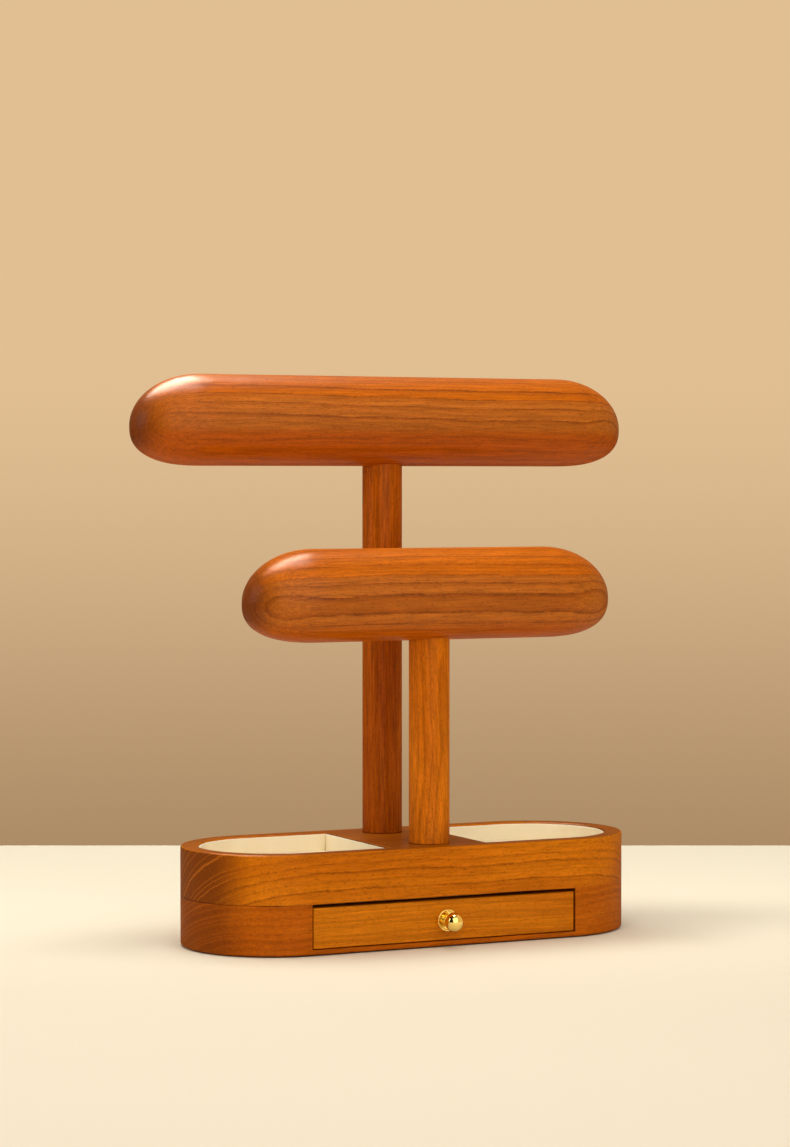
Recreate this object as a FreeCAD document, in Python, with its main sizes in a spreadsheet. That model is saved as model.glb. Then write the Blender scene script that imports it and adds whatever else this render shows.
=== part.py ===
import FreeCAD, Part
import math
import os
import re
import Sketcher

# Jewelry stand: two wooden T-bars on round posts over a stadium-shaped wooden base that holds
# two lined trays and a drawer. X runs to the right, Y to the back and Z up; the origin
# is the centre of the underside and the drawer opens towards -Y. Millimetres throughout.

doc = FreeCAD.newDocument("JewelryStand")
dims = doc.addObject("Spreadsheet::Sheet", "Dims")

drivingSizes = [
    ("base_length", 252.0, "base, end to end; its ends are half circles of the base depth"),
    ("base_depth", 98.0, "base, front to back"),
    ("base_height", 52.6, "tray rim above the table"),
    ("seam_height", 26.6, "glue line between the drawer housing and the tray frame"),
    ("felt_thickness", 0.8, "felt under the base"),
    ("felt_inset", 2.0, "felt edge inside the base outline"),
    ("edge_rounding", 1.0, "rounded rim and lower edge of the base"),
    ("opening_width", 154.0, "drawer opening and the hollow behind it"),
    ("opening_floor", 3.3, "floor of the drawer hollow above the table"),
    ("housing_back_wall", 10.0, "wood left behind the drawer hollow"),
    ("tray_wall", 9.3, "wood around each tray"),
    ("tray_depth", 11.0, "tray pocket below the rim"),
    ("bridge_width", 56.5, "wooden bridge between the trays"),
    ("liner_thickness", 1.2, "velvet-covered board on the tray walls"),
    ("liner_recess", 0.75, "liner top below the rim"),
    ("pad_thickness", 2.0, "padded tray floor"),
    ("glue_gap", 0.1, "play around a glued-in piece"),
    ("post_diameter", 21.5, "both posts"),
    ("post_setback", 20.5, "post axes inside the front and back of the base"),
    ("post_socket_depth", 4.0, "post foot let into the bridge"),
    ("upper_bar_top", 300.0, "top of the upper bar above the table"),
    ("lower_bar_top", 208.4, "top of the lower bar above the table"),
    ("upper_bar_length", 291.0, "upper bar, end to end"),
    ("lower_bar_length", 212.0, "lower bar, end to end"),
    ("bar_depth", 48.0, "both bars, front to back"),
    ("bar_crown", 27.8, "bar above its widest level"),
    ("bar_belly", 20.7, "bar below its widest level"),
    ("bar_tip", 38.6, "length over which a bar end rounds off"),
    ("crown_power", 2.0, "superellipse exponent of the crown; 2 is an ellipse"),
    ("belly_power", 2.4, "superellipse exponent of the flatter belly"),
    ("bar_bore_depth", 14.0, "post end let into the bar"),
    ("bolt_diameter", 6.0, "post bolt thread"),
    ("bolt_head_diameter", 14.0, "post bolt flat head"),
    ("bolt_head_height", 2.6, "post bolt flat head"),
    ("bolt_grip", 12.0, "bolt thread inside the post insert"),
    ("bolt_play", 0.3, "play of the bolt in its hole, all round"),
    ("hex_socket", 4.0, "key socket across flats"),
    ("hex_depth", 1.8, "key socket depth"),
    ("washer_diameter", 16.0, "washer under the bolt head"),
    ("washer_thickness", 1.2, "washer under the bolt head"),
    ("counterbore_diameter", 18.0, "recess for washer and bolt head"),
    ("counterbore_depth", 5.0, "recess for washer and bolt head"),
    ("insert_diameter", 9.5, "threaded insert in the post foot"),
    ("insert_length", 14.0, "threaded insert in the post foot"),
    ("thread_gap", 0.05, "play between a thread and its hole"),
    ("front_side_gap", 0.8, "between drawer and opening, each side"),
    ("front_top_gap", 1.9, "above the drawer front"),
    ("front_bottom_gap", 0.5, "below the drawer front"),
    ("front_recess", 0.3, "drawer face behind the base face"),
    ("front_thickness", 10.0, "drawer front"),
    ("front_rounding", 0.6, "eased edges of the drawer face"),
    ("drawer_back_gap", 2.7, "between the drawer and the back of its hollow"),
    ("drawer_lift", 0.3, "drawer sides above the hollow's floor"),
    ("side_height", 17.5, "drawer sides and back"),
    ("side_thickness", 6.0, "drawer sides and back"),
    ("panel_thickness", 3.0, "drawer bottom panel"),
    ("groove_lift", 1.5, "groove for the panel above the drawer's lower edge"),
    ("groove_depth", 3.0, "groove for the panel"),
    ("lining_thickness", 1.0, "velvet lining of the drawer"),
    ("lining_recess", 1.5, "lining top below the drawer sides"),
    ("ball_diameter", 10.0, "knob ball"),
    ("ball_reach", 9.0, "ball centre in front of the drawer face"),
    ("neck_diameter", 4.8, "knob neck"),
    ("neck_foot_diameter", 6.4, "knob neck where it meets the rosette"),
    ("neck_flare", 1.2, "height of the flare at the neck's foot"),
    ("rosette_diameter", 11.6, "round plate behind the knob"),
    ("rosette_plate", 1.0, "rosette floor thickness"),
    ("rosette_rim", 2.0, "rosette rim height"),
    ("rim_width", 0.9, "rosette rim width"),
    ("rim_rounding", 0.35, "rounded rosette rim"),
    ("screw_diameter", 3.0, "knob screw thread"),
    ("screw_play", 0.25, "play of the knob screw in its hole, all round"),
    ("screw_head_diameter", 7.0, "knob screw head"),
    ("screw_head_height", 2.0, "knob screw head"),
    ("screw_recess_diameter", 8.5, "recess behind the drawer front"),
    ("screw_recess_depth", 2.4, "recess behind the drawer front"),
    ("screw_grip", 5.0, "screw thread inside the knob"),
    ("knob_hole_depth", 6.0, "tapped hole in the knob"),
]
for row, (alias, size, meaning) in enumerate(drivingSizes, start=1):
    dims.set(f"A{row}", meaning)
    dims.set(f"B{row}", str(size))
    dims.setAlias(f"B{row}", alias)
doc.recompute()

# Lengths that several pieces share, as formulas of the sheet's cells.
endCentre = "(base_length - base_depth) / 2"
trayRadius = "(base_depth / 2 - tray_wall)"
linerRadius = "(base_depth / 2 - tray_wall - glue_gap)"
padRadius = "(base_depth / 2 - tray_wall - 2 * glue_gap - liner_thickness)"
linerEdge = "(bridge_width / 2 + glue_gap)"
bridgeLinerFace = "(bridge_width / 2 + glue_gap + liner_thickness)"
postLine = "(base_depth / 2 - post_setback)"
postFoot = "(base_height - post_socket_depth)"
counterboreRoof = "(seam_height + counterbore_depth)"
barHeight = "(bar_crown + bar_belly)"
faceY = "(front_recess - base_depth / 2)"
drawerHalf = "(opening_width / 2 - front_side_gap)"
drawerUnderside = "(opening_floor + drawer_lift)"
panelUnderside = "(opening_floor + drawer_lift + groove_lift)"
panelTop = "(opening_floor + drawer_lift + groove_lift + panel_thickness)"
hollowBack = "(base_depth / 2 - housing_back_wall)"
drawerBackFace = "(base_depth / 2 - housing_back_wall - drawer_back_gap)"
frontHeight = "(seam_height - opening_floor - front_top_gap - front_bottom_gap)"
knobHeight = f"(opening_floor + front_bottom_gap + {frontHeight} / 2)"

nodes = []


# Alias names always hold an underscore, so a formula's own words are left alone.
def formula(text):
    return re.sub(r"[a-z]+_[a-z_]+", r"Dims.\g<0>", str(text))


def value(text):
    return float(dims.evalExpression(formula(text)))


def bind(target, path, text):
    target.setExpression(path, formula(text))


def place(target, x="0", y="0", z="0"):
    bind(target, "Placement.Base.x", x)
    bind(target, "Placement.Base.y", y)
    bind(target, "Placement.Base.z", z)


def keep(piece, name):
    piece.Label = name
    nodes.append(piece)
    return piece


def newBody(name, x="0", y="0", z="0"):
    body = doc.addObject("PartDesign::Body", name)
    place(body, x, y, z)
    return keep(body, name)


def newSketch(body, role, lift="0"):
    plane = next(item for item in body.Origin.OriginFeatures if item.Role == role)
    sketch = body.newObject("Sketcher::SketchObject", body.Name + "_sketch")
    sketch.AttachmentSupport = [(plane, "")]
    sketch.MapMode = "FlatFace"
    bind(sketch, "AttachmentOffset.Base.z", lift)
    return sketch


# Ties one point of a sketch to the sketch origin along X or Y.
def tie(sketch, kind, geometry, point, text):
    index = sketch.addConstraint(Sketcher.Constraint(kind, -1, 1, geometry, point, value(text)))
    bind(sketch, f"Constraints[{index}]", text)


# The centre, at a given x, of an arc between two points.
def arcCentre(start, end, x):
    middle = (start + end) / 2
    chord = end - start
    return FreeCAD.Vector(x, middle.y - (x - middle.x) * chord.x / chord.y, 0)


# A closed counterclockwise outline. A corner is (x, y), or (x, y, centre x) where an arc starts.
def drawOutline(sketch, corners):
    points = [FreeCAD.Vector(value(corner[0]), value(corner[1]), 0) for corner in corners]
    first = sketch.GeometryCount
    for index, corner in enumerate(corners):
        start = points[index]
        end = points[(index + 1) % len(points)]
        if len(corner) == 2:
            sketch.addGeometry(Part.LineSegment(start, end), False)
            continue
        centre = arcCentre(start, end, value(corner[2]))
        circle = Part.Circle(centre, FreeCAD.Vector(0, 0, 1), (start - centre).Length)
        startAngle = math.atan2(start.y - centre.y, start.x - centre.x)
        endAngle = math.atan2(end.y - centre.y, end.x - centre.x)
        sketch.addGeometry(Part.ArcOfCircle(circle, startAngle, endAngle), False)
    for index, corner in enumerate(corners):
        following = first + (index + 1) % len(corners)
        sketch.addConstraint(Sketcher.Constraint("Coincident", first + index, 2, following, 1))
        tie(sketch, "DistanceX", first + index, 1, corner[0])
        tie(sketch, "DistanceY", first + index, 1, corner[1])
        if len(corner) == 3:
            tie(sketch, "DistanceX", first + index, 3, corner[2])


def drawCircle(sketch, x, y, diameter):
    centre = FreeCAD.Vector(value(x), value(y), 0)
    circle = Part.Circle(centre, FreeCAD.Vector(0, 0, 1), value(diameter) / 2)
    geometry = sketch.addGeometry(circle, False)
    tie(sketch, "DistanceX", geometry, 3, x)
    tie(sketch, "DistanceY", geometry, 3, y)
    index = sketch.addConstraint(Sketcher.Constraint("Diameter", geometry, value(diameter)))
    bind(sketch, f"Constraints[{index}]", diameter)


def rectangle(left, right, low, high):
    return [(left, low), (right, low), (right, high), (left, high)]


def stadium(halfLength, radius):
    return [
        (f"-({halfLength})", f"-({radius})"),
        (halfLength, f"-({radius})", halfLength),
        (halfLength, radius),
        (f"-({halfLength})", radius, f"-({halfLength})"),
    ]


# A D with its straight side at inner and its round end about endCentre, on the right or left.
def dee(side, inner, radius):
    if side == "right":
        return [
            (inner, f"-{radius}"),
            (endCentre, f"-{radius}", endCentre),
            (endCentre, radius),
            (inner, radius),
        ]
    return [
        (f"-({endCentre})", radius, f"-({endCentre})"),
        (f"-({endCentre})", f"-{radius}"),
        (f"-{inner}", f"-{radius}"),
        (f"-{inner}", radius),
    ]


def pad(body, sketch, length):
    feature = body.newObject("PartDesign::Pad", body.Name + "_pad")
    feature.Profile = sketch
    bind(feature, "Length", length)
    doc.recompute()
    return feature


# Cuts a sketch into a body; a cut that takes nothing away is an error.
def pocket(body, sketch, length, reverse=False):
    before = body.Tip.Shape.Volume
    feature = body.newObject("PartDesign::Pocket", body.Name + "_pocket")
    feature.Profile = sketch
    feature.Reversed = reverse
    bind(feature, "Length", length)
    doc.recompute()
    if not feature.Shape.Volume < before:
        raise RuntimeError(f"{feature.Name} cuts nothing")
    return feature


# Turns an outline of (radius, height) corners about the sketch's vertical axis.
def turn(body, role, corners):
    sketch = newSketch(body, role)
    drawOutline(sketch, corners)
    feature = body.newObject("PartDesign::Revolution", body.Name + "_turning")
    feature.Profile = sketch
    feature.ReferenceAxis = (sketch, ["V_Axis"])
    feature.Angle = 360
    doc.recompute()
    return feature


def roundEdges(body, radius, chosen):
    base = body.Tip
    names = [f"Edge{index}" for index, edge in enumerate(base.Shape.Edges, start=1) if chosen(edge)]
    feature = body.newObject("PartDesign::Fillet", body.Name + "_rounding")
    feature.Base = (base, names)
    bind(feature, "Radius", radius)
    doc.recompute()
    return feature


# True where an edge lies whole at one y or z.
def level(edge, axis, height):
    bounds = edge.BoundBox
    low, high = {"y": (bounds.YMin, bounds.YMax), "z": (bounds.ZMin, bounds.ZMax)}[axis]
    return abs(low - height) < 0.001 and abs(high - height) < 0.001


# A board between a low and a high place along each axis.
def box(name, x, y, z):
    solid = doc.addObject("Part::Box", name)
    bind(solid, "Length", f"({x[1]}) - ({x[0]})")
    bind(solid, "Width", f"({y[1]}) - ({y[0]})")
    bind(solid, "Height", f"({z[1]}) - ({z[0]})")
    place(solid, x[0], y[0], z[0])
    return solid


def cut(name, base, tool):
    result = doc.addObject("Part::Cut", name)
    result.Base = base
    result.Tool = tool
    doc.recompute()
    return result


# ---- base ----

felt = newBody("base_felt")
feltSketch = newSketch(felt, "XY_Plane")
drawOutline(feltSketch, stadium(endCentre, "(base_depth / 2 - felt_inset)"))
pad(felt, feltSketch, "felt_thickness")

housing = newBody("drawer_housing", z="felt_thickness")
housingSketch = newSketch(housing, "XY_Plane")
drawOutline(housingSketch, stadium(endCentre, "base_depth / 2"))
pad(housing, housingSketch, "seam_height - felt_thickness")
hollowSketch = newSketch(housing, "XY_Plane", "seam_height - felt_thickness")
hollow = rectangle("-opening_width / 2", "opening_width / 2", "-base_depth", hollowBack)
drawOutline(hollowSketch, hollow)
pocket(housing, hollowSketch, "seam_height - opening_floor")
roundEdges(housing, "edge_rounding", lambda edge: level(edge, "z", 0))

frame = newBody("tray_frame", z="seam_height")
frameSketch = newSketch(frame, "XY_Plane")
drawOutline(frameSketch, stadium(endCentre, "base_depth / 2"))
pad(frame, frameSketch, "base_height - seam_height")
for side in ("left", "right"):
    traySketch = newSketch(frame, "XY_Plane", "base_height - seam_height")
    drawOutline(traySketch, dee(side, "bridge_width / 2", trayRadius))
    pocket(frame, traySketch, "tray_depth")
rimHeight = value("base_height - seam_height")
roundEdges(frame, "edge_rounding", lambda edge: level(edge, "z", rimHeight))
for diameter, depth, height, fromBelow in (
    ("post_diameter + 2 * glue_gap", "post_socket_depth", "base_height - seam_height", False),
    ("counterbore_diameter", "counterbore_depth", "0", True),
    ("bolt_diameter + 2 * bolt_play", "base_height - seam_height", "0", True),
):
    holeSketch = newSketch(frame, "XY_Plane", height)
    drawCircle(holeSketch, "0", f"-{postLine}", diameter)
    drawCircle(holeSketch, "0", postLine, diameter)
    pocket(frame, holeSketch, depth, reverse=fromBelow)

# ---- tray linings ----

for side in ("left", "right"):
    trayFloor = "base_height - tray_depth"
    linerHeight = "tray_depth - liner_recess"

    wallLiner = newBody(f"{side}_tray_wall_liner", z=trayFloor)
    wallSketch = newSketch(wallLiner, "XY_Plane")
    drawOutline(wallSketch, dee(side, linerEdge, linerRadius))
    pad(wallLiner, wallSketch, linerHeight)
    insideSketch = newSketch(wallLiner, "XY_Plane")
    drawOutline(insideSketch, dee(side, "(bridge_width / 4)", f"({linerRadius} - liner_thickness)"))
    pocket(wallLiner, insideSketch, linerHeight, reverse=True)

    sign = "-" if side == "left" else ""
    near, far = (bridgeLinerFace, linerEdge) if side == "left" else (linerEdge, bridgeLinerFace)
    bridgeLiner = box(
        f"{side}_tray_bridge_liner",
        (f"{sign}{near}", f"{sign}{far}"),
        (f"-{padRadius}", padRadius),
        (trayFloor, f"{trayFloor} + {linerHeight}"),
    )
    keep(bridgeLiner, f"{side}_tray_bridge_liner")

    floorPad = newBody(f"{side}_tray_floor_pad", z=trayFloor)
    padSketch = newSketch(floorPad, "XY_Plane")
    drawOutline(padSketch, dee(side, f"({bridgeLinerFace} + glue_gap)", padRadius))
    pad(floorPad, padSketch, "pad_thickness")


# ---- bars: superellipse sections that shrink towards round ends ----

# Half-width, crown and belly of the bar at a distance past the straight stretch.
def barSection(past):
    share = min(past / value("bar_tip"), 1)
    crownPower = value("crown_power")
    bellyPower = value("belly_power")
    halfWidth = value("bar_depth") / 2 * math.sqrt(1 - share ** 2)
    crown = value("bar_crown") * (1 - share ** crownPower) ** (1 / crownPower)
    belly = value("bar_belly") * (1 - share ** bellyPower) ** (1 / bellyPower)
    return halfWidth, crown, belly


# One half of a section, from its widest point on one side to the other.
def sectionArc(x, halfWidth, rise, power):
    points = []
    steps = 24
    for step in range(steps + 1):
        angle = math.pi * step / steps
        across = math.copysign(abs(math.cos(angle)) ** (2 / power), math.cos(angle))
        height = rise * math.sin(angle) ** (2 / power)
        points.append(FreeCAD.Vector(x, math.copysign(halfWidth, rise) * across, height))
    up = FreeCAD.Vector(0, 0, math.copysign(1, rise))
    curve = Part.BSplineCurve()
    curve.interpolate(Points=points, InitialTangent=up, FinalTangent=-up)
    return curve.toShape()


# The straight stretch has as many sections as keep the loft from waving.
def barBlank(length):
    tip = value("bar_tip")
    straight = value(length) / 2 - tip
    rings = 12
    stations = [straight + tip * math.cos(math.pi / 2 * ring / rings) for ring in range(1, rings + 1)]
    spans = 2 * math.ceil(straight / tip * 3) + 1
    stations += [straight * (1 - 2 * span / spans) for span in range(1, (spans + 1) // 2)]
    stations += [-station for station in reversed(stations)]
    sections = [Part.Vertex(FreeCAD.Vector(value(length) / 2, 0, 0))]
    for station in stations:
        halfWidth, crown, belly = barSection(max(abs(station) - straight, 0))
        top = sectionArc(station, halfWidth, crown, value("crown_power"))
        bottom = sectionArc(station, halfWidth, -belly, value("belly_power"))
        sections.append(Part.Wire([top, bottom]))
    sections.append(Part.Vertex(FreeCAD.Vector(-value(length) / 2, 0, 0)))
    return Part.makeLoft(sections, True, False, False, 3)


def bar(name, length, top, y):
    blank = doc.addObject("Part::Feature", f"{name}_blank")
    blank.Shape = barBlank(length)
    place(blank, "0", y, f"{top} - bar_crown")
    bore = doc.addObject("Part::Cylinder", f"{name}_bore")
    bind(bore, "Radius", "post_diameter / 2 + glue_gap")
    bind(bore, "Height", "2 * bar_bore_depth")
    place(bore, "0", y, f"{top} - {barHeight} - bar_bore_depth")
    keep(cut(name, blank, bore), name)


# ---- posts, bars and the bolts that hold them ----

for tier, postName, postY in (
    ("upper", "back_post", postLine),
    ("lower", "front_post", f"-{postLine}"),
):
    bar(f"{tier}_bar", f"{tier}_bar_length", f"{tier}_bar_top", postY)

    post = newBody(postName, y=postY, z=postFoot)
    postSketch = newSketch(post, "XY_Plane")
    drawCircle(postSketch, "0", "0", "post_diameter")
    pad(post, postSketch, f"{tier}_bar_top - {barHeight} + bar_bore_depth - {postFoot}")
    insertSketch = newSketch(post, "XY_Plane")
    drawCircle(insertSketch, "0", "0", "insert_diameter + 2 * thread_gap")
    pocket(post, insertSketch, "insert_length + 2 * bolt_play", reverse=True)

    insert = newBody(f"{postName}_insert", y=postY, z=postFoot)
    bore = "bolt_diameter / 2 + thread_gap"
    turn(insert, "XZ_Plane", rectangle(bore, "insert_diameter / 2", "0", "insert_length"))

    washer = newBody(f"{postName}_washer", y=postY, z=f"{counterboreRoof} - washer_thickness")
    bore = "bolt_diameter / 2 + bolt_play"
    turn(washer, "XZ_Plane", rectangle(bore, "washer_diameter / 2", "0", "washer_thickness"))

    bolt = newBody(f"{postName}_bolt", y=postY, z=f"{counterboreRoof} - washer_thickness")
    boltEnd = f"{postFoot} + bolt_grip - {counterboreRoof} + washer_thickness"
    turn(bolt, "XZ_Plane", [
        ("0", "-bolt_head_height"),
        ("bolt_head_diameter / 2", "-bolt_head_height"),
        ("bolt_head_diameter / 2", "0"),
        ("bolt_diameter / 2", "0"),
        ("bolt_diameter / 2", boltEnd),
        ("0", boltEnd),
    ])
    hexSketch = newSketch(bolt, "XY_Plane", "-bolt_head_height")
    cornerReach = "hex_socket / sqrt(3)"
    drawOutline(hexSketch, [
        (f"{cornerReach} * cos({60 * corner} deg)", f"{cornerReach} * sin({60 * corner} deg)")
        for corner in range(6)
    ])
    pocket(bolt, hexSketch, "hex_depth", reverse=True)

# ---- drawer ----

front = newBody("drawer_front", y=faceY, z="opening_floor + front_bottom_gap")
frontSketch = newSketch(front, "XY_Plane")
drawOutline(frontSketch, rectangle(f"-{drawerHalf}", drawerHalf, "0", "front_thickness"))
pad(front, frontSketch, frontHeight)
roundEdges(front, "front_rounding", lambda edge: level(edge, "y", 0))
grooveSketch = newSketch(front, "XY_Plane", f"{panelUnderside} - opening_floor - front_bottom_gap")
grooveHalf = f"({drawerHalf} - side_thickness + groove_depth)"
groove = rectangle(f"-{grooveHalf}", grooveHalf, "front_thickness - groove_depth", "2 * front_thickness")
drawOutline(grooveSketch, groove)
pocket(front, grooveSketch, "panel_thickness", reverse=True)
for diameter, height, depth in (
    ("screw_diameter + 2 * screw_play", "0", "front_thickness"),
    ("screw_recess_diameter", "screw_recess_depth - front_thickness", "front_thickness"),
):
    screwHoleSketch = newSketch(front, "XZ_Plane", height)
    drawCircle(screwHoleSketch, "0", f"{frontHeight} / 2", diameter)
    pocket(front, screwHoleSketch, depth)

sideStart = f"({faceY} + front_thickness)"
sideTop = f"({drawerUnderside} + side_height)"
for side, outer, inner in (
    ("left", f"-{drawerHalf}", f"side_thickness - {drawerHalf}"),
    ("right", drawerHalf, f"{drawerHalf} - side_thickness"),
):
    low, high = (outer, inner) if side == "left" else (inner, outer)
    blank = box(f"{side}_side_blank", (low, high), (sideStart, drawerBackFace), (drawerUnderside, sideTop))
    low, high = (
        (f"{inner} - groove_depth", f"{inner} + 1") if side == "left"
        else (f"{inner} - 1", f"{inner} + groove_depth")
    )
    tool = box(f"{side}_side_groove", (low, high), (faceY, "base_depth"), (panelUnderside, panelTop))
    keep(cut(f"drawer_{side}_side", blank, tool), f"drawer_{side}_side")

insideHalf = f"({drawerHalf} - side_thickness)"
insideBack = f"({drawerBackFace} - side_thickness)"
back = box("drawer_back", (f"-{insideHalf}", insideHalf), (insideBack, drawerBackFace), (panelTop, sideTop))
keep(back, "drawer_back")
panel = box(
    "drawer_bottom",
    (f"-{grooveHalf} + glue_gap", f"{grooveHalf} - glue_gap"),
    (f"{sideStart} - groove_depth + glue_gap", drawerBackFace),
    (panelUnderside, panelTop),
)
keep(panel, "drawer_bottom")

liningTop = f"({sideTop} - lining_recess)"
liningFloor = f"({panelTop} + lining_thickness)"
liningFront = f"({sideStart} + lining_thickness)"
liningBack = f"({insideBack} - lining_thickness)"
acrossDrawer = (f"-{insideHalf}", insideHalf)
wallRise = (liningFloor, liningTop)
for wall, x, y, z in (
    ("floor", acrossDrawer, (sideStart, insideBack), (panelTop, liningFloor)),
    ("front", acrossDrawer, (sideStart, liningFront), wallRise),
    ("back", acrossDrawer, (liningBack, insideBack), wallRise),
    ("left", (f"-{insideHalf}", f"lining_thickness - {insideHalf}"), (liningFront, liningBack), wallRise),
    ("right", (f"{insideHalf} - lining_thickness", insideHalf), (liningFront, liningBack), wallRise),
):
    keep(box(f"drawer_{wall}_lining", x, y, z), f"drawer_{wall}_lining")

# ---- knob ----

rosette = newBody("knob_rosette", y=faceY, z=knobHeight)
rosetteBore = "screw_diameter / 2 + screw_play"
turn(rosette, "XY_Plane", [
    (rosetteBore, "-rosette_plate"),
    ("rosette_diameter / 2 - rim_width - rim_rounding", "-rosette_plate"),
    ("rosette_diameter / 2 - rim_width", "-rosette_rim"),
    ("rosette_diameter / 2", "-rosette_rim"),
    ("rosette_diameter / 2", "0"),
    (rosetteBore, "0"),
])
rimReach = -value("rosette_rim")
roundEdges(rosette, "rim_rounding", lambda edge: level(edge, "y", rimReach))

knob = newBody("drawer_knob", y=faceY, z=knobHeight)
ballJoin = "-ball_reach + sqrt((ball_diameter / 2) ^ 2 - (neck_diameter / 2) ^ 2)"
threadRadius = "screw_diameter / 2 + thread_gap"
turn(knob, "XY_Plane", [
    ("0", "-ball_reach - ball_diameter / 2", "0"),
    ("neck_diameter / 2", ballJoin),
    ("neck_diameter / 2", "-rosette_plate - neck_flare"),
    ("neck_foot_diameter / 2", "-rosette_plate"),
    (threadRadius, "-rosette_plate"),
    (threadRadius, "-rosette_plate - knob_hole_depth"),
    ("0", "-rosette_plate - knob_hole_depth"),
])

screw = newBody("knob_screw", y=faceY, z=knobHeight)
headSeat = "front_thickness - screw_recess_depth"
turn(screw, "XY_Plane", [
    ("0", "-rosette_plate - screw_grip"),
    ("screw_diameter / 2", "-rosette_plate - screw_grip"),
    ("screw_diameter / 2", headSeat),
    ("screw_head_diameter / 2", headSeat),
    ("screw_head_diameter / 2", f"{headSeat} + screw_head_height"),
    ("0", f"{headSeat} + screw_head_height"),
])

# ---- checks and files ----

doc.recompute()
for item in doc.Objects:
    if "Invalid" in item.State or "Error" in item.State:
        raise RuntimeError(f"{item.Label} failed: {item.State}")
for piece in nodes:
    if piece.Shape.isNull() or not piece.Shape.isValid():
        raise RuntimeError(f"{piece.Label} has no valid shape")

os.makedirs("parts", exist_ok=True)
for piece in nodes:
    piece.Shape.exportStep(f"parts/{piece.Label}.step")
    print(piece.Label, len(piece.Shape.Solids), round(piece.Shape.Volume, 1))
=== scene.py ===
import math
import bmesh
import bpy
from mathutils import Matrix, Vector, noise


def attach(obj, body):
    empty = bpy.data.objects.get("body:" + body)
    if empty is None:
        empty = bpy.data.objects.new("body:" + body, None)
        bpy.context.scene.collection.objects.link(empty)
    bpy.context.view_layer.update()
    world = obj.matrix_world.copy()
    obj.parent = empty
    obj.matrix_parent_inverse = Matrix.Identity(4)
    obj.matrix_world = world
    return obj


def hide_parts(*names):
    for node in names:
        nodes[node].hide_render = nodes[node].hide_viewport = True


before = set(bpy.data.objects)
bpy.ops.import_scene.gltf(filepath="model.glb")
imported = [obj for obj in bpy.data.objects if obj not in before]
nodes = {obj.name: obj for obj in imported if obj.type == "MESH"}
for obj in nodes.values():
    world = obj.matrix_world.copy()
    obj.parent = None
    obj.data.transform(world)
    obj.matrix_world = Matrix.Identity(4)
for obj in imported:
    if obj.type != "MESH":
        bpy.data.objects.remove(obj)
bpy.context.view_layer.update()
millimetre = 0.001
print("frame loaded")


# Small helpers for building node trees.
def addNode(tree, kind, settings=None, inputs=None):
    node = tree.nodes.new(kind)
    for name, value in (settings or {}).items():
        setattr(node, name, value)
    for name, value in (inputs or {}).items():
        feed(tree, node, name, value)
    return node


def feed(tree, node, name, value):  # value is an output socket or a constant
    if isinstance(value, bpy.types.NodeSocket):
        tree.links.new(value, node.inputs[name])
    else:
        node.inputs[name].default_value = value


def calc(tree, operation, first, second=0.0):
    return addNode(tree, "ShaderNodeMath", {"operation": operation}, {0: first, 1: second}).outputs[0]


def times(tree, product, *factors):
    for factor in factors:
        product = calc(tree, "MULTIPLY", product, factor)
    return product


def ramp(tree, value, low, high, toLow=0.0, toHigh=1.0):  # smooth step from low to high
    node = addNode(tree, "ShaderNodeMapRange", {"interpolation_type": "SMOOTHSTEP"}, {
        "Value": value, "From Min": low, "From Max": high, "To Min": toLow, "To Max": toHigh})
    return node.outputs["Result"]


def axes(tree, vector):
    return addNode(tree, "ShaderNodeSeparateXYZ", {}, {0: vector}).outputs


def noiseValue(tree, vector, scale, detail, roughness):
    node = addNode(tree, "ShaderNodeTexNoise", {}, {
        "Vector": vector, "Scale": scale, "Detail": detail, "Roughness": roughness})
    return node.outputs["Fac"]


def stretchedNoise(tree, vector, scales, detail, roughness):  # its own scale along each axis
    node = addNode(tree, "ShaderNodeVectorMath", {"operation": "MULTIPLY"}, {0: vector, 1: scales})
    return noiseValue(tree, node.outputs[0], 1.0, detail, roughness)


def mixColour(tree, factor, first, second, blend="MIX"):  # 6 and 7 are the node's colour inputs
    node = addNode(tree, "ShaderNodeMix", {"data_type": "RGBA", "blend_type": blend})
    for slot, value in ((0, factor), (6, first), (7, second)):
        feed(tree, node, slot, value)
    return node.outputs[2]


def grey(tree, value):
    return addNode(tree, "ShaderNodeCombineXYZ", {}, {0: value, 1: value, 2: value}).outputs[0]


def surfaceNormal(tree):
    return addNode(tree, "ShaderNodeTexCoord").outputs["Normal"]


def atPlace(tree, middle=(0, 0, 0), turn=(0, 0, 0)):  # object space in millimetres from middle, turned
    place = addNode(tree, "ShaderNodeTexCoord").outputs["Object"]
    mapping = addNode(tree, "ShaderNodeMapping", {"vector_type": "TEXTURE"}, {
        "Vector": place, "Location": [value * millimetre for value in middle],
        "Rotation": [math.radians(angle) for angle in turn], "Scale": (millimetre,) * 3})
    return mapping.outputs["Vector"]


def bumpUp(tree, shader, height, strength, depth):  # fine relief, with its depth in metres
    bump = addNode(tree, "ShaderNodeBump", {}, {"Strength": strength, "Distance": depth, "Height": height})
    feed(tree, shader, "Normal", bump.outputs["Normal"])


def newGroup(name, inputs, outputs):
    tree = bpy.data.node_groups.new(name, "ShaderNodeTree")
    for label, kind, value in inputs:
        socket = tree.interface.new_socket(label, in_out="INPUT", socket_type="NodeSocket" + kind)
        if value is not None:
            socket.default_value = value
    for label in outputs:
        tree.interface.new_socket(label, in_out="OUTPUT", socket_type="NodeSocketFloat")
    return tree, tree.nodes.new("NodeGroupInput").outputs, tree.nodes.new("NodeGroupOutput")


def placeGroup(tree, group, inputs):
    return addNode(tree, "ShaderNodeGroup", {"node_tree": group}, inputs).outputs


def newMaterial(name):
    material = bpy.data.materials.new(name)
    material.use_nodes = True
    return material, material.node_tree, material.node_tree.nodes["Principled BSDF"]


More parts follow.
